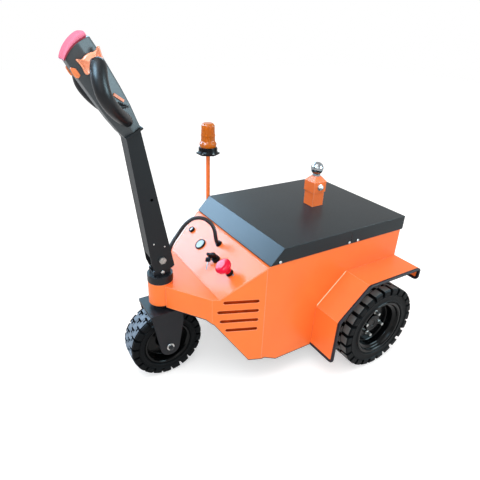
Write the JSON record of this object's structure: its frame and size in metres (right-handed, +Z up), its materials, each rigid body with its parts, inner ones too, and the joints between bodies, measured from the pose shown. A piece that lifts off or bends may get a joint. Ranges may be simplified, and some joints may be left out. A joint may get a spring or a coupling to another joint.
{
  "type": "pedestrian electric tow tug",
  "caption": "Walk-behind electric tow tug: folded sheet-metal body under a flat lid, steered front fork with a folding tiller, and a tow ball on a square post.",
  "frame": {"origin": "on the floor, under the middle of the whole tug's length and width", "axes": "+X forward towards the steered wheel, +Y the tug's left, +Z up"},
  "size_m": [1.1301, 0.788, 1.1609],
  "materials": {
    "orange_paint": "semi-gloss",
    "dark_paint": "satin",
    "black_paint": "satin",
    "tyre_rubber": "matt",
    "trim_rubber": "matt",
    "zinc": "satin",
    "chrome": "polished",
    "head_plastic": "moulded",
    "orange_plastic": "moulded",
    "red_plastic": "moulded",
    "pink_plastic": "moulded",
    "amber_lens": "clear",
    "black_plastic": "moulded"
  },
  "bodies": {
    "root": {"body_tub": "orange_paint", "nose_shell": "orange_paint", "control_panel": "orange_paint", "belly_pan": "black_paint", "chassis_rails": "black_paint", "battery_block": "black_plastic", "lid": "dark_paint", "fenders": "orange_paint", "fender_trims": "trim_rubber", "steering_tube": "orange_paint", "transaxle": "black_paint", "drive_motor": "black_paint", "hitch_post": "orange_paint", "hitch_sleeve": "orange_paint", "tow_ball": "chrome", "hitch_bolt": "zinc", "beacon_pole": "orange_paint", "beacon_base": "black_plastic", "beacon_lens": "amber_lens", "charge_gauge": "black_plastic", "key_switch": "black_plastic", "stop_button": "red_plastic", "charge_socket": "zinc", "cable_glands": "black_plastic", "control_cable": "trim_rubber"},
    "rear_left_wheel": {"rear_tyre_left": "tyre_rubber", "rear_rim_left": "black_paint", "rear_hub_left": "zinc"},
    "rear_right_wheel": {"rear_tyre_right": "tyre_rubber", "rear_rim_right": "black_paint", "rear_hub_right": "zinc"},
    "steering_head": {"fork": "black_paint", "front_axle": "zinc", "turntable_disc": "black_paint", "clevis": "black_paint"},
    "front_wheel": {"front_tyre": "tyre_rubber", "front_rim": "black_paint"},
    "tiller": {"tiller_arm": "dark_paint", "arm_cover": "dark_paint", "pivot_bolt": "zinc", "head_housing": "head_plastic", "belly_switch": "pink_plastic", "throttles": "orange_plastic", "head_buttons": "orange_plastic"}
  },
  "joints": [
    {"name": "rear_left_spin", "type": "hinge", "parent": "root", "child": "rear_left_wheel", "pos_m": [-0.372, 0.35, 0.171], "axis": [0, 1, 0], "continuous": true},
    {"name": "rear_right_spin", "type": "hinge", "parent": "root", "child": "rear_right_wheel", "pos_m": [-0.372, -0.35, 0.171], "axis": [0, 1, 0], "continuous": true},
    {"name": "steering", "type": "hinge", "parent": "root", "child": "steering_head", "pos_m": [0.35, 0, 0.35], "axis": [0, 0, 1], "range_deg": [-90, 90]},
    {"name": "front_spin", "type": "hinge", "parent": "steering_head", "child": "front_wheel", "pos_m": [0.35, 0, 0.136], "axis": [0, 1, 0], "continuous": true},
    {"name": "tiller_fold", "type": "hinge", "parent": "steering_head", "child": "tiller", "pos_m": [0.35, 0, 0.479], "axis": [0, 1, 0], "range_deg": [0, 75], "stiffness_Nm_per_rad": 25, "springref_deg": -40.11}
  ]
}
